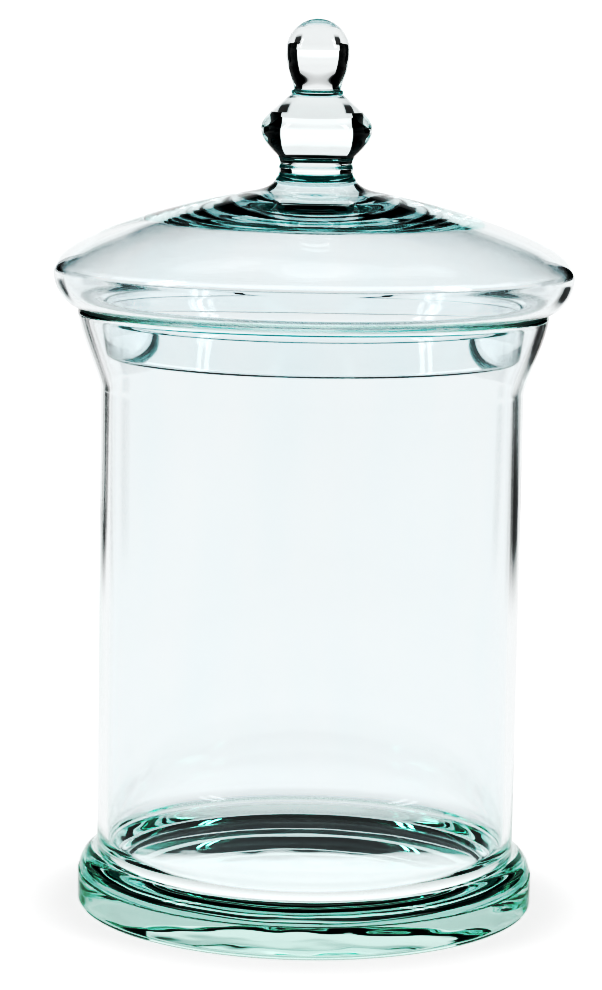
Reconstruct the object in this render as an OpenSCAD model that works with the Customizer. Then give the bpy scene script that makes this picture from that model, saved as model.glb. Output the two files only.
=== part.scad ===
// Apothecary jar: a clear glass jar with a flared mouth on a heavy glass foot, and a
// lift-off domed lid with a turned finial. Every piece is a solid of revolution about +Z.
// Millimetres, +Z up. The origin is the centre of the plane that the foot stands on.

/* [Jar] */
// Outer radius of the straight wall
body_r = 77; // [70:0.5:80]
// Thickness of the jar's wall
body_wall = 3.6; // [3:0.1:4]
// Thickness of the jar's own floor at its edge, above the foot
body_floor = 4.3; // [3:0.1:8]
// Depth by which the floor dips from its edge to the middle
floor_dip = 1.35; // [0.5:0.05:2]
// Radius of the rounded corner between the wall and the floor inside
floor_corner_r = 11.3; // [6:0.1:14]
// Height where the jar's shoulder meets the wall
shoulder_z = 20; // [17:0.5:24]
// Height where the wall starts to flare into the mouth
flare_z = 191.5; // [170:0.5:195]
// Outer radius of the mouth
mouth_r = 85.5; // [83:0.1:87]
// Height at which the mouth's rim starts to round over
mouth_z = 218.7; // [216:0.1:221]

/* [Foot] */
// Outer radius of the foot
foot_r = 84; // [82:0.5:90]
// Thickness of the foot, up to the underside of the jar
foot_h = 12.5; // [10:0.5:14]
// Radius of the lower edge of the foot
foot_edge_r = 2.2; // [1:0.1:3.5]
// Radius of its upper edge, at the joint with the jar
foot_top_r = 0.5; // [0.3:0.1:1]
// Radius of the shallow hollow under the foot
hollow_r = 75; // [60:1:78]
// Depth of the hollow under the foot
hollow_h = 2.3; // [0.8:0.1:4]

/* [Lid] */
// Outer radius of the lid at its widest ring
lid_r = 94.5; // [93:0.5:97]
// Thickness of the lid's wall
lid_wall = 2.7; // [2.5:0.1:3.5]
// Height of the widest ring above the seat on the rim
bulge_h = 13.5; // [12:0.5:15]
// Height of the dome above the widest ring, up to the foot of the finial
dome_h = 29.2; // [25:0.2:32]
// Share of the dome's line, from its edge, that keeps the plain wall
crown_start = 0.568; // [0.4:0.001:0.7]
// Thickness of the glass at the crown, under the foot of the finial
crown_wall = 14.7; // [11:0.1:16]
// Gap between the lid's seat and the rim
seat_gap = 0.3; // [0.2:0.05:0.5]
// Outer radius of the flange where it leaves the lid
flange_r = 77.6; // [77:0.1:78]
// Amount by which the flange's radius shrinks towards its lower edge
flange_taper = 1.6; // [1:0.1:2]
// Depth of the flange below the seat
flange_drop = 16.5; // [13:0.5:18]

/* [Finial] */
// Radius of the stem
stem_r = 13.2; // [12:0.2:14]
// Height of the stem between the dome's neck and the knop
stem_h = 8.6; // [7:0.2:10]
// Radius of the knop
knop_r = 20.1; // [18:0.1:22]
// Height of the knop
knop_h = 22.2; // [20:0.2:25]
// Radius of the ball
ball_r = 11.6; // [10:0.1:13]
// Height of the finial from the top of the knop
ball_h = 27; // [25:0.2:30]

/* [Hidden] */
$fn = 96;
ARC_STEPS = 8;
CURVE_STEPS = 14;

floor_z = foot_h + body_floor;
rim_lip_r = body_wall / 2;
rim_top_z = mouth_z + rim_lip_r + 0.2;

seat_z = rim_top_z + seat_gap;
seat_out_r = mouth_r - 1;
seat_in_r = flange_r + 3.4;
waist_r = seat_in_r - flange_r;
flange_top_z = seat_z - waist_r - 0.9;
flange_low_z = seat_z - flange_drop;
bulge_z = seat_z + bulge_h;

// Length over which the crown's underside leaves the wall's line, and radius of the drop at its middle
crown_ease = 20;
crown_drop_r = 14;

neck_r = stem_r + 1.4;
neck_foot_r = stem_r + 7.8;
neck_foot_z = bulge_z + dome_h;
neck_z = neck_foot_z + 3.7;
stem_z = neck_z;
knop_z = stem_z + stem_h;
ball_z = knop_z + knop_h;
top_z = ball_z + ball_h;

// Points of a circular arc in the (radius, height) plane
function arc(centre, r, from, to, steps = ARC_STEPS) =
    [for (i = [0:steps]) let (a = from + (to - from) * i / steps) centre + r * [cos(a), sin(a)]];

// Points of an elliptical arc, for the foot's shoulder
function oval(centre, rx, rz, from, to, steps = ARC_STEPS) =
    [for (i = [0:steps]) let (a = from + (to - from) * i / steps) centre + [rx * cos(a), rz * sin(a)]];

// A point of a cubic curve, and its unit normal on the side to the left of the way it runs
function curve_at(p, t) =
    pow(1 - t, 3) * p[0] + 3 * pow(1 - t, 2) * t * p[1] + 3 * (1 - t) * t * t * p[2] + pow(t, 3) * p[3];
function curve_way(p, t) =
    pow(1 - t, 2) * (p[1] - p[0]) + 2 * (1 - t) * t * (p[2] - p[1]) + t * t * (p[3] - p[2]);
function left_of(way) = [-way[1], way[0]] / norm(way);

// Points of a cubic curve, or of its first part, shifted sideways by the distance given
function curve(p, shift = 0, steps = CURVE_STEPS, end = 1) =
    [for (i = [0:steps]) let (t = end * i / steps) curve_at(p, t) + shift * left_of(curve_way(p, t))];

function backwards(list) = [for (i = [len(list) - 1:-1:0]) list[i]];

// The mouth's outer line, from the straight wall up to the rim
mouth_line = [
    [body_r, flare_z],
    [body_r, flare_z + 3.5],
    [mouth_r - 1.2, mouth_z - 8.7],
    [mouth_r, mouth_z]
];

// The lid's outer line in two curves: under the widest ring, and over it to the finial's neck
curl_line = [
    [seat_out_r, seat_z],
    [seat_out_r + 5.5, seat_z + 0.1],
    [lid_r, bulge_z - 6.9],
    [lid_r, bulge_z]
];
dome_line = [
    [lid_r, bulge_z],
    [lid_r, bulge_z + 11.2],
    [neck_foot_r + 31.4, neck_foot_z - 6],
    [neck_foot_r, neck_foot_z]
];
neck_line = [
    [neck_foot_r, neck_foot_z],
    [neck_foot_r - 3, neck_foot_z + 0.6],
    [neck_r + 0.8, neck_z - 1.6],
    [neck_r, neck_z]
];
// The underside of the thick crown, from the plain wall to the axis
crown_way = curve_way(dome_line, crown_start);
crown_edge = curve_at(dome_line, crown_start) + lid_wall * left_of(crown_way);
crown_line = [
    crown_edge,
    crown_edge + crown_ease * crown_way / norm(crown_way),
    [crown_drop_r, neck_foot_z - crown_wall],
    [0, neck_foot_z - crown_wall]
];

module turned(outline) {
    rotate_extrude() polygon(outline);
}

// Blown jar: a rounded shoulder on the foot, a dished floor, a straight wall, and a mouth that
// flares to a rounded rim
module jar_body() {
    in_r = body_r - body_wall;
    shoulder_r = foot_r - foot_top_r;
    edge_r = in_r - floor_corner_r;
    dish_r = (edge_r * edge_r + floor_dip * floor_dip) / (2 * floor_dip);
    dish_half = asin(edge_r / dish_r);
    corner_z = floor_z + floor_corner_r;
    lip_way = curve_way(mouth_line, 1);
    lip_centre = mouth_line[3] + rim_lip_r * left_of(lip_way);
    lip_tilt = atan2(lip_way[1], lip_way[0]) - 90;
    color([0.80, 0.93, 0.90, 0.35])
        turned(concat(
            [[0, foot_h]],
            oval([body_r, foot_h], shoulder_r - body_r, shoulder_z - foot_h, 0, 90),
            curve(mouth_line),
            arc(lip_centre, rim_lip_r, lip_tilt, lip_tilt + 180),
            backwards(curve(mouth_line, body_wall)),
            arc([edge_r, corner_z], floor_corner_r, 0, dish_half - 90),
            arc([0, corner_z + dish_r * cos(dish_half)], dish_r + floor_corner_r, dish_half - 90, -90)
        ));
}

// Solid foot: a disc with a shallow hollow underneath and an upright band round it
module jar_foot() {
    hollow_arc_r = (hollow_r * hollow_r + hollow_h * hollow_h) / (2 * hollow_h);
    hollow_half = asin(hollow_r / hollow_arc_r);
    color([0.62, 0.84, 0.78, 0.5])
        turned(concat(
            arc([0, hollow_h - hollow_arc_r], hollow_arc_r, 90, 90 - hollow_half),
            arc([foot_r - foot_edge_r, foot_edge_r], foot_edge_r, -90, 0),
            arc([foot_r - foot_top_r, foot_h - foot_top_r], foot_top_r, 0, 90, 4),
            [[0, foot_h]]
        ));
}

// Blown lid: seat, bulging edge and dome in one wall, ending in the finial's neck
module lid_dome() {
    color([0.80, 0.93, 0.90, 0.35])
        turned(concat(
            [[flange_r, flange_top_z]],
            arc([seat_in_r, seat_z - waist_r], waist_r, 180, 90),
            curve(curl_line),
            curve(dome_line),
            curve(neck_line, steps = 6),
            [[0, neck_z]],
            backwards(curve(crown_line)),
            backwards(curve(dome_line, lid_wall, end = crown_start)),
            backwards(curve(curl_line, lid_wall)),
            arc([seat_in_r, seat_z - waist_r], waist_r + lid_wall, 90, 180),
            [[flange_r - lid_wall, flange_top_z]]
        ));
}

// Flange that drops into the mouth and keeps the lid central
module lid_flange() {
    low_r = flange_r - flange_taper;
    lip_r = lid_wall / 2;
    color([0.80, 0.93, 0.90, 0.35])
        turned(concat(
            [[flange_r, flange_top_z]],
            [[flange_r - lid_wall, flange_top_z]],
            arc([low_r - lip_r, flange_low_z + lip_r], lip_r, 180, 360)
        ));
}

// Stem with two soft beads round it
module finial_stem() {
    color([0.70, 0.86, 0.82, 0.6])
        turned(concat(
            [[0, stem_z], [neck_r, stem_z]],
            [for (i = [1:15]) let (u = i / 16)
                [stem_r + 0.2 * cos(720 * u) + 1.4 * pow(1 - u, 4) + 0.5 * pow(u, 6),
                 stem_z + stem_h * u]],
            [[stem_r + 0.6, knop_z], [0, knop_z]]
        ));
}

// Knop: a bulge with a rounded waist-high edge, tapering to the ball's seat
module finial_knop() {
    wide_z = knop_z + 0.45 * knop_h;
    color([0.70, 0.86, 0.82, 0.6])
        turned(concat(
            [[0, knop_z]],
            curve([[stem_r + 0.6, knop_z], [stem_r + 3.8, knop_z + 3.2],
                   [knop_r, wide_z - 4], [knop_r, wide_z]]),
            curve([[knop_r, wide_z], [knop_r, wide_z + 4.2], [13.5, ball_z - 3.8], [9.4, ball_z]]),
            [[0, ball_z]]
        ));
}

// Ball: a ring, a short taper and a round head
module finial_ball() {
    taper_z = ball_z + 2.2;
    centre_z = top_z - ball_r;
    color([0.70, 0.86, 0.82, 0.6])
        turned(concat(
            [[0, ball_z]],
            arc([8.6, ball_z + 0.8], 0.8, -90, 90, 6),
            curve([[8.5, taper_z], [9.3, taper_z + 3.8],
                   [ball_r, centre_z - 4.9], [ball_r, centre_z]], steps = 10),
            arc([0, centre_z], ball_r, 0, 90, 12)
        ));
}

jar_body();
jar_foot();
lid_dome();
lid_flange();
finial_stem();
finial_knop();
finial_ball();
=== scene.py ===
"""Apothecary jar: a clear blown glass jar on a heavy foot, with a domed lid and a turned finial."""

import math

import bpy
from mathutils import Matrix, Vector

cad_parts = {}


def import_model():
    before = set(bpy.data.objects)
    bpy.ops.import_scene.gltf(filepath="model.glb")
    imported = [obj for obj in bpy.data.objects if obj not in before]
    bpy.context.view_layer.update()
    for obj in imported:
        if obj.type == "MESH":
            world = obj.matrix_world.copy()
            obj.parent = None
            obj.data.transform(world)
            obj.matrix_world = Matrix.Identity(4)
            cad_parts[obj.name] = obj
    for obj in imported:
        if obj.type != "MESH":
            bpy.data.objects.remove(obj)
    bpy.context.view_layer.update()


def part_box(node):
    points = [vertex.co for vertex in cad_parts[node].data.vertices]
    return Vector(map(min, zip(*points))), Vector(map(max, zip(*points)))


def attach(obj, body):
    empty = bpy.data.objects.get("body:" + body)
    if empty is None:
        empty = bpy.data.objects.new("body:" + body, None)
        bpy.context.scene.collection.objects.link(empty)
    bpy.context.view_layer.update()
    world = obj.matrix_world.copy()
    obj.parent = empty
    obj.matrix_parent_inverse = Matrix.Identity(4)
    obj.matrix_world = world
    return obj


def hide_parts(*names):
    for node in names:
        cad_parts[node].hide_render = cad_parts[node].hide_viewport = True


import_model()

MM = 0.001
TURNS = 256             # faces round each piece
SHARP_ANGLE = 40        # degrees between faces, above which an edge stays sharp

# Tolerances in millimetres: points that are one, points that lie on the axis, and points at one height
SAME_POINT = 1e-4
ON_AXIS = 1e-6
SAME_HEIGHT = 1e-3


def mm(node, corner, axis):
    """A coordinate of a CAD node's box in millimetres: corner 0 is the lowest and 1 the highest."""
    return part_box(node)[corner][axis] / MM


# ---------------------------------------------------------------- driving sizes, in millimetres

# Jar
BODY_R = 77.0
BODY_WALL = 3.6
FLOOR = 4.3
FLOOR_DIP = 1.35
FLOOR_CORNER = 11.3
SHOULDER_Z = 20.0
FLARE_Z = 191.5
MOUTH_R = 85.5
MOUTH_Z = 218.7
LIP_R = BODY_WALL / 2
LIP_RISE = 0.2

# Foot
FOOT_H = mm("jar_foot", 1, 2)
FOOT_R = mm("jar_foot", 1, 0)
FOOT_EDGE = 2.2
FOOT_TOP_EDGE = 0.5
HOLLOW_R = 75.0
HOLLOW_H = 2.3

# Lid
LID_WALL = 2.7
LID_R = 94.5
SEAT_GAP = 0.3
SEAT_Z = MOUTH_Z + LIP_R + LIP_RISE + SEAT_GAP
BULGE_H = 13.5
BULGE_Z = SEAT_Z + BULGE_H
WAIST_R = 3.4
FLANGE_R = mm("lid_flange", 1, 0)
FLANGE_TAPER = 1.6
FLANGE_TOP = mm("lid_flange", 1, 2)
FLANGE_LOW = mm("lid_flange", 0, 2)
CROWN_START = 0.568
CROWN_WALL = 14.7
CROWN_EASE = 20.0
CROWN_DROP_R = 14.0

# Finial
STEM_R = 13.2
STEM_BEAD = 0.2
STEM_LOW_FLARE = 1.4
STEM_TOP_FLARE = 0.5
STEM_TOP_R = STEM_R + 0.6
NECK_R = mm("finial_stem", 1, 0)
NECK_Z = mm("lid_dome", 1, 2)
NECK_FLARE = 6.4
NECK_H = 3.7
NECK_FOOT_R = NECK_R + NECK_FLARE
NECK_FOOT_Z = NECK_Z - NECK_H
KNOP_R = 20.1
KNOP_Z = mm("finial_knop", 0, 2)
KNOP_TOP_R = 9.4
KNOP_WIDE = 0.45        # height of the knop's widest ring, as a share of the knop
BALL_R = 11.6
BALL_Z = mm("finial_ball", 0, 2)
RING_R = 8.6            # the ball's ring: where its rounded edge starts, and that edge's radius
RING_EDGE = 0.8
TOP_Z = mm("finial_ball", 1, 2)

# Where two pieces are fused, each runs this far past the joint
WELD_OVERLAP = 0.02

MOUTH_LINE = [
    (BODY_R, FLARE_Z),
    (BODY_R, FLARE_Z + 3.5),
    (MOUTH_R - 1.2, MOUTH_Z - 8.7),
    (MOUTH_R, MOUTH_Z),
]
CURL_LINE = [
    (MOUTH_R - 1, SEAT_Z),
    (MOUTH_R + 4.5, SEAT_Z + 0.1),
    (LID_R, BULGE_Z - 6.9),
    (LID_R, BULGE_Z),
]
DOME_LINE = [
    (LID_R, BULGE_Z),
    (LID_R, BULGE_Z + 11.2),
    (NECK_FOOT_R + 31.4, NECK_FOOT_Z - 6),
    (NECK_FOOT_R, NECK_FOOT_Z),
]
NECK_LINE = [
    (NECK_FOOT_R, NECK_FOOT_Z),
    (NECK_FOOT_R - 3, NECK_FOOT_Z + 0.6),
    (NECK_R + 0.8, NECK_Z - 1.6),
    (NECK_R, NECK_Z),
]


# ---------------------------------------------------------------- outlines

def oval(r, z, r_radius, z_radius, start, end, steps=12):
    """Points of an elliptical arc in the (radius, height) plane, angles in degrees."""
    turns = [math.radians(start + (end - start) * i / steps) for i in range(steps + 1)]
    return [(r + r_radius * math.cos(a), z + z_radius * math.sin(a)) for a in turns]


def arc(r, z, radius, start, end, steps=10):
    """Points of a circular arc."""
    return oval(r, z, radius, radius, start, end, steps)


def straight(r, low, high, steps=30):
    """Points of an upright line, without its two ends."""
    return [(r, low + (high - low) * i / steps) for i in range(1, steps)]


def curve_at(points, t, shift=0.0):
    """A point of a cubic curve, shifted to its left by the distance given, and the way it runs there."""
    p = [Vector(q) for q in points]
    u = 1 - t
    at = u**3 * p[0] + 3 * u * u * t * p[1] + 3 * u * t * t * p[2] + t**3 * p[3]
    way = (u * u * (p[1] - p[0]) + 2 * u * t * (p[2] - p[1]) + t * t * (p[3] - p[2])).normalized()
    return at + shift * Vector((-way.y, way.x)), way


def curve(points, shift=0.0, steps=28, end=1.0):
    """Points of a cubic curve, or of its first part, shifted to its left by the distance given."""
    return [tuple(curve_at(points, end * i / steps, shift)[0]) for i in range(steps + 1)]


def lathe(name, outline, welds):
    """Turns a closed outline of (radius, height) points in millimetres about +Z. A weld is a height where
    the piece is fused to its neighbour, so its flat faces there take the second material."""
    apart = [outline[0]]
    for before, point in zip(outline, outline[1:]):
        if (Vector(point) - Vector(before)).length > SAME_POINT:
            apart.append(point)
    verts = []
    rings = []
    for r, z in apart:
        if r < ON_AXIS:
            rings.append([len(verts)] * TURNS)
            verts.append((0.0, 0.0, z * MM))
            continue
        rings.append(list(range(len(verts), len(verts) + TURNS)))
        for i in range(TURNS):
            a = 2 * math.pi * i / TURNS
            verts.append((r * MM * math.cos(a), r * MM * math.sin(a), z * MM))
    faces = []
    slots = []
    for k, point in enumerate(apart):
        n = (k + 1) % len(apart)
        low, high = rings[k], rings[n]
        if low[0] == low[1] and high[0] == high[1]:
            continue
        heights = (point[1], apart[n][1])
        fused = any(all(abs(height - z) < SAME_HEIGHT for height in heights) for z in welds)
        for i in range(TURNS):
            j = (i + 1) % TURNS
            corners = [low[i], low[j], high[j], high[i]]
            faces.append([v for m, v in enumerate(corners) if v not in corners[:m]])
            slots.append(1 if fused else 0)
    mesh = bpy.data.meshes.new(name)
    mesh.from_pydata(verts, [], faces)
    mesh.validate()
    mesh.polygons.foreach_set("material_index", slots)
    mesh.shade_smooth()
    mesh.set_sharp_from_angle(angle=math.radians(SHARP_ANGLE))
    mesh.update()
    piece = bpy.data.objects.new(name, mesh)
    bpy.context.scene.collection.objects.link(piece)
    return piece


# ---------------------------------------------------------------- pieces

def jar_body():
    """Blown jar: rounded shoulder on the foot, dished floor, straight wall, flared mouth, rounded rim."""
    in_r = BODY_R - BODY_WALL
    weld_z = FOOT_H - WELD_OVERLAP
    shoulder_r = FOOT_R - FOOT_TOP_EDGE
    edge_r = in_r - FLOOR_CORNER
    corner_z = FOOT_H + FLOOR + FLOOR_CORNER
    dish_r = (edge_r**2 + FLOOR_DIP**2) / (2 * FLOOR_DIP)
    half = math.degrees(math.asin(edge_r / dish_r))
    dish_z = corner_z + dish_r * math.cos(math.radians(half))
    lip_centre, way = curve_at(MOUTH_LINE, 1, LIP_R)
    tilt = math.degrees(math.atan2(way.y, way.x)) - 90
    outline = [(0, weld_z), (shoulder_r, weld_z)]
    outline += oval(BODY_R, FOOT_H, shoulder_r - BODY_R, SHOULDER_Z - FOOT_H, 0, 90, 24)
    outline += straight(BODY_R, SHOULDER_Z, FLARE_Z)
    outline += curve(MOUTH_LINE)
    outline += arc(lip_centre.x, lip_centre.y, LIP_R, tilt, tilt + 180)
    outline += curve(MOUTH_LINE, BODY_WALL)[::-1]
    outline += straight(in_r, FLARE_Z, corner_z)
    outline += arc(edge_r, corner_z, FLOOR_CORNER, 0, half - 90, 32)
    outline += arc(0, dish_z, dish_r + FLOOR_CORNER, half - 90, -90, 20)[1:-1]
    outline += [(0, FOOT_H + FLOOR - FLOOR_DIP)]
    return lathe("jar_body_glass", outline, [weld_z])


def jar_foot():
    """Solid foot: a disc with a shallow hollow underneath and an upright band round it."""
    hollow_arc_r = (HOLLOW_R**2 + HOLLOW_H**2) / (2 * HOLLOW_H)
    half = math.degrees(math.asin(HOLLOW_R / hollow_arc_r))
    weld_z = FOOT_H + WELD_OVERLAP
    outline = [(0, HOLLOW_H)]
    outline += arc(0, HOLLOW_H - hollow_arc_r, hollow_arc_r, 90, 90 - half, 24)[1:]
    outline += arc(FOOT_R - FOOT_EDGE, FOOT_EDGE, FOOT_EDGE, -90, 0, 12)
    outline += arc(FOOT_R - FOOT_TOP_EDGE, FOOT_H - FOOT_TOP_EDGE, FOOT_TOP_EDGE, 0, 90, 6)[:-1]
    outline += [(FOOT_R - FOOT_TOP_EDGE, weld_z), (0, weld_z)]
    return lathe("jar_foot_glass", outline, [weld_z])


def lid_dome():
    """Blown lid: seat, bulging edge and dome in one wall, with a thick crown that hangs under the finial."""
    low, high = FLANGE_TOP - WELD_OVERLAP, NECK_Z + WELD_OVERLAP
    seat_r = FLANGE_R + WAIST_R
    crown_edge, crown_way = curve_at(DOME_LINE, CROWN_START, LID_WALL)
    crown_z = NECK_FOOT_Z - CROWN_WALL
    crown_line = [crown_edge, crown_edge + CROWN_EASE * crown_way, (CROWN_DROP_R, crown_z), (0, crown_z)]
    outline = [(FLANGE_R, low)]
    outline += arc(seat_r, SEAT_Z - WAIST_R, WAIST_R, 180, 90)
    outline += curve(CURL_LINE)
    outline += curve(DOME_LINE, steps=48)
    outline += curve(NECK_LINE, steps=10)[:-1]
    outline += [(NECK_R, high), (0, high)]
    outline += curve(crown_line, steps=48)[::-1]
    outline += curve(DOME_LINE, LID_WALL, 48, CROWN_START)[:-1][::-1]
    outline += curve(CURL_LINE, LID_WALL)[::-1]
    outline += arc(seat_r, SEAT_Z - WAIST_R, WAIST_R + LID_WALL, 90, 180)
    outline += [(FLANGE_R - LID_WALL, low)]
    return lathe("lid_dome_glass", outline, [low, high])


def lid_flange():
    """Ring that drops into the mouth and keeps the lid central."""
    lip_r = LID_WALL / 2
    weld_z = FLANGE_TOP + WELD_OVERLAP
    outline = [(FLANGE_R, weld_z), (FLANGE_R - LID_WALL, weld_z)]
    outline += arc(FLANGE_R - FLANGE_TAPER - lip_r, FLANGE_LOW + lip_r, lip_r, 180, 360)
    return lathe("lid_flange_glass", outline, [weld_z])


def finial_stem():
    """Stem with two soft beads round it."""
    low, high = NECK_Z - WELD_OVERLAP, KNOP_Z + WELD_OVERLAP
    steps = 32
    outline = [(0, low), (NECK_R, low)]
    for i in range(1, steps):
        u = i / steps
        bead = STEM_BEAD * math.cos(4 * math.pi * u)
        flare = STEM_LOW_FLARE * (1 - u) ** 4 + STEM_TOP_FLARE * u**6
        outline.append((STEM_R + bead + flare, NECK_Z + (KNOP_Z - NECK_Z) * u))
    outline += [(STEM_TOP_R, high), (0, high)]
    return lathe("finial_stem_glass", outline, [low, high])


def finial_knop():
    """Bulging knop that tapers to the ball's seat."""
    low, high = KNOP_Z - WELD_OVERLAP, BALL_Z + WELD_OVERLAP
    wide = KNOP_Z + KNOP_WIDE * (BALL_Z - KNOP_Z)
    lower = [(STEM_TOP_R, KNOP_Z), (STEM_R + 3.8, KNOP_Z + 3.2), (KNOP_R, wide - 4), (KNOP_R, wide)]
    upper = [(KNOP_R, wide), (KNOP_R, wide + 4.2), (13.5, BALL_Z - 3.8), (KNOP_TOP_R, BALL_Z)]
    outline = [(0, low), (STEM_TOP_R, low)]
    outline += curve(lower)[1:]
    outline += curve(upper)[:-1]
    outline += [(KNOP_TOP_R, high), (0, high)]
    return lathe("finial_knop_glass", outline, [low, high])


def finial_ball():
    """Ball: a ring, a short taper and a round head."""
    low = BALL_Z - WELD_OVERLAP
    taper = BALL_Z + 2.2
    centre = TOP_Z - BALL_R
    outline = [(0, low), (RING_R, low)]
    outline += arc(RING_R, BALL_Z + RING_EDGE, RING_EDGE, -90, 90, 8)[1:]
    outline += curve([(8.5, taper), (9.3, taper + 3.8), (BALL_R, centre - 4.9), (BALL_R, centre)])
    outline += arc(0, centre, BALL_R, 0, 90, 24)[1:-1]
    outline += [(0, TOP_Z)]
    return lathe("finial_ball_glass", outline, [low])


# ---------------------------------------------------------------- materials

# Absorption per metre of red, green and blue light
WALL_TINT = (0.9, 0.28, 0.4)
FOOT_TINT = (1.2, 0.32, 0.56)
LID_TINT = (2.4, 1.1, 1.15)
FINIAL_TINT = (2.2, 1.0, 1.05)

# Colour of light that crosses the surface
WALL_SURFACE = (0.945, 0.988, 1.0)
CLEAR_SURFACE = (0.985, 0.995, 1.0)

# Faint cords in the surface's colour, and smears in its polish. Scales are per metre, and each range is the
# part of the noise that is spread from none to full.
CORD_DEPTH = 0.55
CORD_SCALE = (60.0, 60.0, 14.0)
CORD_RANGE = (0.3, 0.7)
SMEAR_ROUGHNESS = 0.03
SMEAR_SCALE = (45.0, 45.0, 45.0)
SMEAR_RANGE = (0.45, 0.75)

# Waves left by the blowing: scale per metre, and height in metres
BLOWN_WAVES = ((20.0, 20.0, 9.0), 0.0004)
LID_WAVES = ((24.0, 24.0, 30.0), 0.0004)
FOOT_WAVES = ((45.0, 45.0, 45.0), 0.0002)
FINIAL_WAVES = ((70.0, 70.0, 70.0), 0.00015)

# The ground bands of the rim and the seat: lowest and highest z in metres
RIM_GROUND = ((MOUTH_Z + 1.2) * MM, (SEAT_Z + 5) * MM)
SEAT_GROUND = ((SEAT_Z - 0.8) * MM, (SEAT_Z + 0.1) * MM)
GROUND_ROUGHNESS = 0.35
GROUND_EDGE = 0.0003


class Graph:
    """Small helper that builds nodes in the node tree of a material or world."""

    def __init__(self, owner):
        owner.use_nodes = True
        self.nodes = owner.node_tree.nodes
        self.links = owner.node_tree.links

    def clear_surface(self):
        """Takes the default surface shader away."""
        self.nodes.remove(self.nodes["Principled BSDF"])

    def surface(self, output):
        """Takes a shader's output as the material's surface."""
        self.links.new(output, self.nodes["Material Output"].inputs["Surface"])

    def absorb(self, tint):
        """Fills the piece with glass that absorbs light by the tint."""
        volume = self.nodes.new("ShaderNodeVolumeAbsorption")
        density = max(tint)
        volume.inputs["Color"].default_value = (*(1 - t / density for t in tint), 1)
        volume.inputs["Density"].default_value = density
        self.links.new(volume.outputs["Volume"], self.nodes["Material Output"].inputs["Volume"])

    def emit(self, strength):
        """A white emission of the strength given, a number or another node's output."""
        shine = self.nodes.new("ShaderNodeEmission")
        shine.inputs["Color"].default_value = (1, 1, 1, 1)
        self.feed(shine.inputs["Strength"], strength)
        return shine.outputs["Emission"]

    def feed(self, socket, value):
        """Gives a socket a number, or links another node's output to it."""
        if isinstance(value, (int, float)):
            socket.default_value = value
        else:
            self.links.new(value, socket)

    def calc(self, operation, a, b=0.0):
        node = self.nodes.new("ShaderNodeMath")
        node.operation = operation
        self.feed(node.inputs[0], a)
        self.feed(node.inputs[1], b)
        return node.outputs["Value"]

    def times(self, a, b):
        return self.calc("MULTIPLY", a, b)

    def span(self, value, start, end, low=0.0, high=1.0, kind="LINEAR"):
        """Maps start..end to low..high, and holds it outside."""
        node = self.nodes.new("ShaderNodeMapRange")
        node.interpolation_type = kind
        self.links.new(value, node.inputs["Value"])
        for name, level in (("From Min", start), ("From Max", end), ("To Min", low), ("To Max", high)):
            node.inputs[name].default_value = level
        return node.outputs["Result"]

    def ramp(self, value, start, end, low=0.0, high=1.0):
        return self.span(value, start, end, low, high, "SMOOTHSTEP")

    def split(self, vector):
        node = self.nodes.new("ShaderNodeSeparateXYZ")
        self.links.new(vector, node.inputs["Vector"])
        return node.outputs

    def noise(self, place, scale, detail):
        """A noise over the place given, stretched by the scale given per metre."""
        stretch = self.nodes.new("ShaderNodeMapping")
        stretch.inputs["Scale"].default_value = scale
        self.links.new(place, stretch.inputs["Vector"])
        grain = self.nodes.new("ShaderNodeTexNoise")
        grain.inputs["Scale"].default_value = 1.0
        grain.inputs["Detail"].default_value = detail
        self.links.new(stretch.outputs["Vector"], grain.inputs["Vector"])
        return grain.outputs["Fac"]

    def azimuth(self, x, y):
        """Degrees: 0 straight behind the jar, positive to the right, 180 at the camera."""
        return self.times(self.calc("ARCTAN2", x, y), 180 / math.pi)

    def sector(self, azimuth, start, end, edge):
        """1 between the two azimuths, and 0 outside with a soft edge."""
        half = (end - start) / 2
        off = self.calc("ABSOLUTE", self.calc("SUBTRACT", azimuth, start + half))
        return self.ramp(off, half, half + edge, 1, 0)

    def seen(self):
        """1 for what the camera sees straight, 0 for what it sees in or through the glass."""
        return self.nodes.new("ShaderNodeLightPath").outputs["Is Camera Ray"]


def glass(name, tint, surface, waves, ground):
    """Clear glass: a tint that thickens with depth, faint cords in its colour, waves left by the blowing,
    and a satin band where the surface is ground."""
    material = bpy.data.materials.new(name)
    graph = Graph(material)
    nodes, links = graph.nodes, graph.links
    shader = nodes["Principled BSDF"]
    shader.inputs["IOR"].default_value = 1.5
    shader.inputs["Transmission Weight"].default_value = 1.0
    place = nodes.new("ShaderNodeTexCoord").outputs["Object"]

    cords = nodes.new("ShaderNodeMix")
    cords.data_type = "RGBA"
    cords.inputs["A"].default_value = (*surface, 1)
    cords.inputs["B"].default_value = (*(1 - CORD_DEPTH * (1 - c) for c in surface), 1)
    links.new(graph.span(graph.noise(place, CORD_SCALE, 2), *CORD_RANGE), cords.inputs["Factor"])
    links.new(cords.outputs["Result"], shader.inputs["Base Color"])

    rough = graph.span(graph.noise(place, SMEAR_SCALE, 4), *SMEAR_RANGE, 0, SMEAR_ROUGHNESS)
    if ground:
        low, high = ground
        z = graph.split(place)["Z"]
        above = graph.span(z, low, low + GROUND_EDGE, 0, GROUND_ROUGHNESS)
        below = graph.span(z, high, high + GROUND_EDGE, 1, 0)
        rough = graph.calc("MAXIMUM", rough, graph.times(above, below))
    links.new(rough, shader.inputs["Roughness"])

    scale, height = waves
    bump = nodes.new("ShaderNodeBump")
    bump.inputs["Distance"].default_value = height
    links.new(graph.noise(place, scale, 1), bump.inputs["Height"])
    links.new(bump.outputs["Normal"], shader.inputs["Normal"])
    graph.absorb(tint)
    return material


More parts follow.
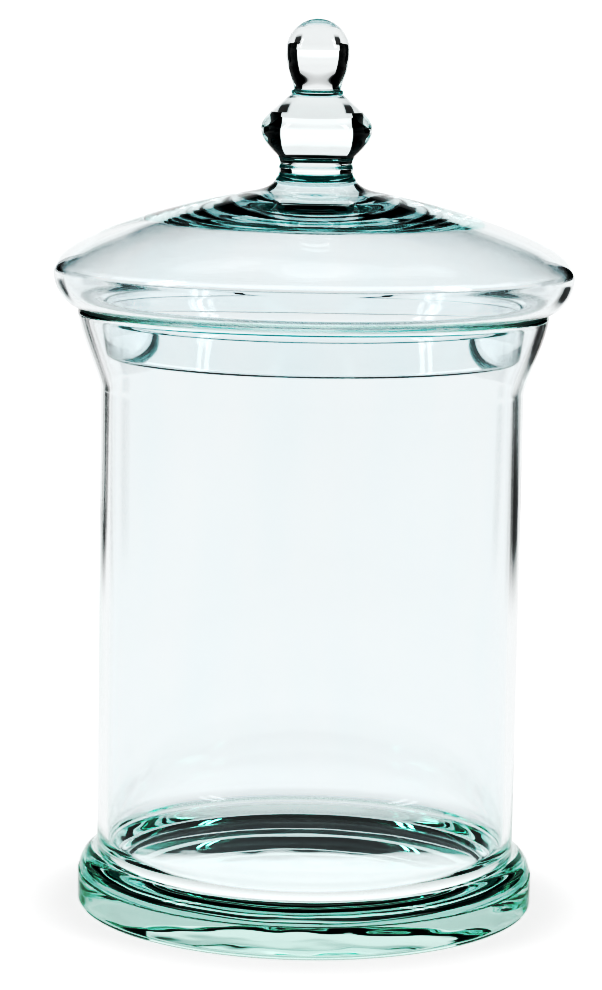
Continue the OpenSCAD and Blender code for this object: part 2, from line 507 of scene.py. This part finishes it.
def weld(name, tint):
    """The joint between two fused pieces: nothing to see, with glass behind it."""
    material = bpy.data.materials.new(name)
    graph = Graph(material)
    graph.clear_surface()
    graph.surface(graph.nodes.new("ShaderNodeBsdfTransparent").outputs["BSDF"])
    graph.absorb(tint)
    return material


for make, body, node, slot, tint, surface, waves, ground in (
    (jar_body, "jar", "jar_body", "jar_glass", WALL_TINT, WALL_SURFACE, BLOWN_WAVES, RIM_GROUND),
    (jar_foot, "jar", "jar_foot", "foot_glass", FOOT_TINT, CLEAR_SURFACE, FOOT_WAVES, None),
    (lid_dome, "lid", "lid_dome", "lid_glass", LID_TINT, WALL_SURFACE, LID_WAVES, SEAT_GROUND),
    (lid_flange, "lid", "lid_flange", "lid_glass", LID_TINT, WALL_SURFACE, BLOWN_WAVES, None),
    (finial_stem, "lid", "finial_stem", "finial_glass", FINIAL_TINT, CLEAR_SURFACE, FINIAL_WAVES, None),
    (finial_knop, "lid", "finial_knop", "finial_glass", FINIAL_TINT, CLEAR_SURFACE, FINIAL_WAVES, None),
    (finial_ball, "lid", "finial_ball", "finial_glass", FINIAL_TINT, CLEAR_SURFACE, FINIAL_WAVES, None),
):
    piece = make()
    piece.data.materials.append(glass(node + "_clear", tint, surface, waves, ground))
    piece.data.materials.append(weld(node + "_weld", tint))
    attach(piece, body)
    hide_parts(node)

# ---------------------------------------------------------------- studio

# The bright field round the jar, heights in degrees
BACK_LEVELS = (1.15, 0.94, 0.66)        # brightness at the horizon, above it and near the top
BACK_HORIZON = (1.5, 6)                 # where it falls from the first level to the second
BACK_UPPER = (15, 18)                   # and from the second to the third
BACK_TOP = (18, 20)                     # and ends
STUDIO_DARK = 0.02

# The floor: its own light, painted brighter under the foot and darker in a painted contact shade round it,
# to which its diffuse surface adds. Distances near the foot are in foot radii.
FLOOR_R = 6.0
FLOOR_SIDES = 128
FLOOR_DROP = 0.0002                     # metres below the plane that the foot stands on
FLOOR_MATT = 0.5
FLOOR_GLOW = 0.87
PAINTED_UNDER_LIGHT = 1.1                        # painted light under the foot, where little else lights it
PAINTED_SHADE_GLOW = 0.66                       # painted contact shade at the foot's edge
PAINTED_SHADE_STARTS = (0.7, 1.03)
PAINTED_SHADE_ENDS = (1.1, 1.9)
SEEN_LIFT = (0.12, 0.27)                # added to what the camera sees straight, at the foot and beyond
SEEN_STARTS = (1.0, 1.3)

# Painted dark bands on the floor behind the jar, shown only through the glass, which the edges of the wall
# bend into view.
# Each has its first and last azimuth and the width of its soft edge, in degrees.
PAINTED_BAND_RIGHT = (26, 36, 4)
PAINTED_BAND_LEFT = (-33, -25, 3)
PAINTED_BAND_DEPTH = 0.8
PAINTED_BAND_NEAR = (0.6, 0.9)                  # metres from the jar's axis
PAINTED_BAND_FAR = (1.6, 1.9)

# Dark cards beside the jar: azimuths from straight behind it, and metres
CARD_AZIMUTHS = (30.0, 62.0)
CARD_LOW = 0.20
CARD_HIGH = 0.45
CARD_REACH = 0.5
CARD_GLOW = 0.01
CARD_STEPS = 24

# Tall soft lights, like the panes of a window: azimuths from the camera's side, positive to the right
PANE_AZIMUTHS = (-75, -67, 63, 70)
PANE_RISE = 24
PANE_REACH = 1.3
PANE_WIDE = 0.08
PANE_TALL = 0.7
PANE_GLOW = 6.0
PANE_AIM = Vector((0, 0, 0.3))


def stand(name, mesh, material):
    """Puts a studio mesh with one material into the scene."""
    mesh.materials.append(material)
    thing = bpy.data.objects.new(name, mesh)
    bpy.context.scene.collection.objects.link(thing)
    return thing


def shining(name, strength):
    """A plain white emission."""
    material = bpy.data.materials.new(name)
    graph = Graph(material)
    graph.clear_surface()
    graph.surface(graph.emit(strength))
    return material


def floor_glow_and_painted_shade(graph):
    """The floor's own light: painted light under the foot, a painted contact shade at its edge, painted dark
    bands further off.
    """
    x, y, _ = graph.split(graph.nodes.new("ShaderNodeNewGeometry").outputs["Position"])
    reach = graph.calc("SQRT", graph.calc("ADD", graph.times(x, x), graph.times(y, y)))
    foot = FOOT_R * MM
    # Painted light under the foot, falling to a painted contact shade at its edge, then rising to the open
    # floor's glow
    under = graph.ramp(reach, *(foot * r for r in PAINTED_SHADE_STARTS), PAINTED_UNDER_LIGHT, PAINTED_SHADE_GLOW)
    open_floor = graph.ramp(reach, *(foot * r for r in PAINTED_SHADE_ENDS), 0, FLOOR_GLOW - PAINTED_SHADE_GLOW)
    glow = graph.calc("ADD", under, open_floor)

    # Painted dark bands: the glow is dimmed in two sectors behind the jar, only where the glass shows the
    # floor
    azimuth = graph.azimuth(x, y)
    bands = graph.calc("MAXIMUM", graph.sector(azimuth, *PAINTED_BAND_RIGHT), graph.sector(azimuth, *PAINTED_BAND_LEFT))
    length = graph.times(graph.ramp(reach, *PAINTED_BAND_NEAR), graph.ramp(reach, *PAINTED_BAND_FAR, 1, 0))
    in_glass = graph.calc("SUBTRACT", 1.0, graph.seen())
    band = graph.times(graph.times(graph.times(bands, length), -PAINTED_BAND_DEPTH), in_glass)
    glow = graph.times(glow, graph.calc("ADD", band, 1.0))
    lift = graph.ramp(reach, *(foot * r for r in SEEN_STARTS), *SEEN_LIFT)
    return graph.calc("ADD", glow, graph.times(lift, graph.seen()))


def floor():
    """A pale floor that shines a little, so that glass over it reads as clear, with a contact shade at the
    foot that is partly painted into its glow and partly cast on its diffuse surface.
    """
    material = bpy.data.materials.new("floor")
    graph = Graph(material)
    graph.clear_surface()
    matt = graph.nodes.new("ShaderNodeBsdfDiffuse")
    matt.inputs["Color"].default_value = (FLOOR_MATT, FLOOR_MATT, FLOOR_MATT, 1)
    both = graph.nodes.new("ShaderNodeAddShader")
    graph.links.new(graph.emit(floor_glow_and_painted_shade(graph)), both.inputs[0])
    graph.links.new(matt.outputs["BSDF"], both.inputs[1])
    graph.surface(both.outputs["Shader"])

    turns = [2 * math.pi * i / FLOOR_SIDES for i in range(FLOOR_SIDES)]
    mesh = bpy.data.meshes.new("floor")
    ring = [(FLOOR_R * math.cos(a), FLOOR_R * math.sin(a), 0) for a in turns]
    mesh.from_pydata(ring, [], [tuple(range(FLOOR_SIDES))])
    stand("floor", mesh, material).location.z = -FLOOR_DROP


def card(name, side):
    """A curved black card that hangs beside the jar, unseen, and gives the round glass its dark edges."""
    start, end = CARD_AZIMUTHS
    verts = []
    for i in range(CARD_STEPS + 1):
        a = math.radians(side * (start + (end - start) * i / CARD_STEPS))
        for z in (CARD_LOW, CARD_HIGH):
            verts.append((CARD_REACH * math.sin(a), CARD_REACH * math.cos(a), z))
    mesh = bpy.data.meshes.new(name)
    mesh.from_pydata(verts, [], [(2 * i, 2 * i + 2, 2 * i + 3, 2 * i + 1) for i in range(CARD_STEPS)])
    stand(name, mesh, shining(name, CARD_GLOW)).visible_camera = False


def pane(name, azimuth):
    """A tall soft light, out of the camera's sight, that faces the jar."""
    a, e = math.radians(azimuth), math.radians(PANE_RISE)
    away = Vector((math.sin(a) * math.cos(e), -math.cos(a) * math.cos(e), math.sin(e)))
    w, h = PANE_WIDE / 2, PANE_TALL / 2
    mesh = bpy.data.meshes.new(name)
    mesh.from_pydata([(-w, -h, 0), (w, -h, 0), (w, h, 0), (-w, h, 0)], [], [(0, 1, 2, 3)])
    panel = stand(name, mesh, shining(name, PANE_GLOW))
    turn = (-away).to_track_quat("Z", "Y").to_matrix().to_4x4()
    panel.matrix_world = Matrix.Translation(PANE_AIM + PANE_REACH * away) @ turn
    panel.visible_camera = False


def world():
    """A bright field all round the jar but behind the cards, with a dark studio above."""
    studio = bpy.data.worlds.new("studio")
    bpy.context.scene.world = studio
    graph = Graph(studio)
    x, y, z = graph.split(graph.nodes.new("ShaderNodeTexCoord").outputs["Generated"])
    height = graph.times(graph.calc("ARCSINE", z), 180 / math.pi)
    behind_cards = graph.sector(graph.calc("ABSOLUTE", graph.azimuth(x, y)), *CARD_AZIMUTHS, 1)
    horizon, above, top = BACK_LEVELS
    lower = graph.ramp(height, *BACK_HORIZON, horizon, above)
    upper = graph.ramp(height, *BACK_UPPER, 1, top / above)
    field = graph.times(graph.ramp(height, *BACK_TOP, 1, 0), graph.times(lower, upper))
    field = graph.times(field, graph.calc("SUBTRACT", 1.0, behind_cards))
    level = graph.calc("MAXIMUM", graph.calc("MAXIMUM", field, STUDIO_DARK), graph.seen())
    back = graph.nodes["Background"]
    back.inputs["Color"].default_value = (1, 1, 1, 1)
    graph.links.new(level, back.inputs["Strength"])


floor()
world()
card("card_right", 1)
card("card_left", -1)
for count, azimuth in enumerate(PANE_AZIMUTHS):
    pane(f"pane_{count}", azimuth)

# ---------------------------------------------------------------- camera and picture

CAMERA_BACK = 1.28
CAMERA_UP = 0.3455
CAMERA_YAW = -0.155
CAMERA_PITCH = 8.59
CAMERA_ROLL = 0.96
LENS = 128.5

# The picture's contrast, as (light, shown) points: deep darks, plain lights
TONE = ((0.15, 0.008), (0.33, 0.06), (0.48, 0.37), (0.62, 0.605))
# A trace of teal in the darks, which ends where the light reaches DARK_END
DARKS = (0.001, 0.010, 0.012)
DARK_END = 0.2


def aim_camera():
    """Sets up the camera in front of the jar, a little above it, looking down."""
    camera = bpy.data.cameras.new("camera")
    camera.sensor_width = 36.0
    camera.lens = LENS
    eye = bpy.data.objects.new("camera", camera)
    bpy.context.scene.collection.objects.link(eye)
    yaw, pitch, roll = (math.radians(v) for v in (CAMERA_YAW, CAMERA_PITCH, CAMERA_ROLL))
    ahead = Vector((math.sin(yaw) * math.cos(pitch), math.cos(yaw) * math.cos(pitch), -math.sin(pitch)))
    level = Vector((math.cos(yaw), -math.sin(yaw), 0))
    upright = level.cross(ahead)
    right = math.cos(roll) * level + math.sin(roll) * upright
    up = math.cos(roll) * upright - math.sin(roll) * level
    turn = Matrix((right, up, -ahead)).transposed().to_4x4()
    eye.matrix_world = Matrix.Translation(Vector((0, -CAMERA_BACK, CAMERA_UP))) @ turn
    bpy.context.scene.camera = eye


def set_tone(view):
    """Bends the picture's tone, all channels together, and then lifts the darks of each."""
    view.view_transform = "Standard"
    view.use_curve_mapping = True
    tone = view.curve_mapping
    *colours, combined = tone.curves
    for light, shown in TONE:
        combined.points.new(light, shown)
    for curve_of_colour, lift in zip(colours, DARKS):
        curve_of_colour.points[0].location = (0, lift)
        curve_of_colour.points.new(DARK_END, DARK_END)
    tone.update()


def set_bounces(cycles):
    """Light is caught many times in the seat and the foot, which turn black if its path is cut short."""
    cycles.max_bounces = 120
    cycles.glossy_bounces = 100
    cycles.transmission_bounces = 60
    cycles.transparent_max_bounces = 60
    cycles.sample_clamp_indirect = 8


aim_camera()
set_tone(bpy.context.scene.view_settings)
set_bounces(bpy.context.scene.cycles)
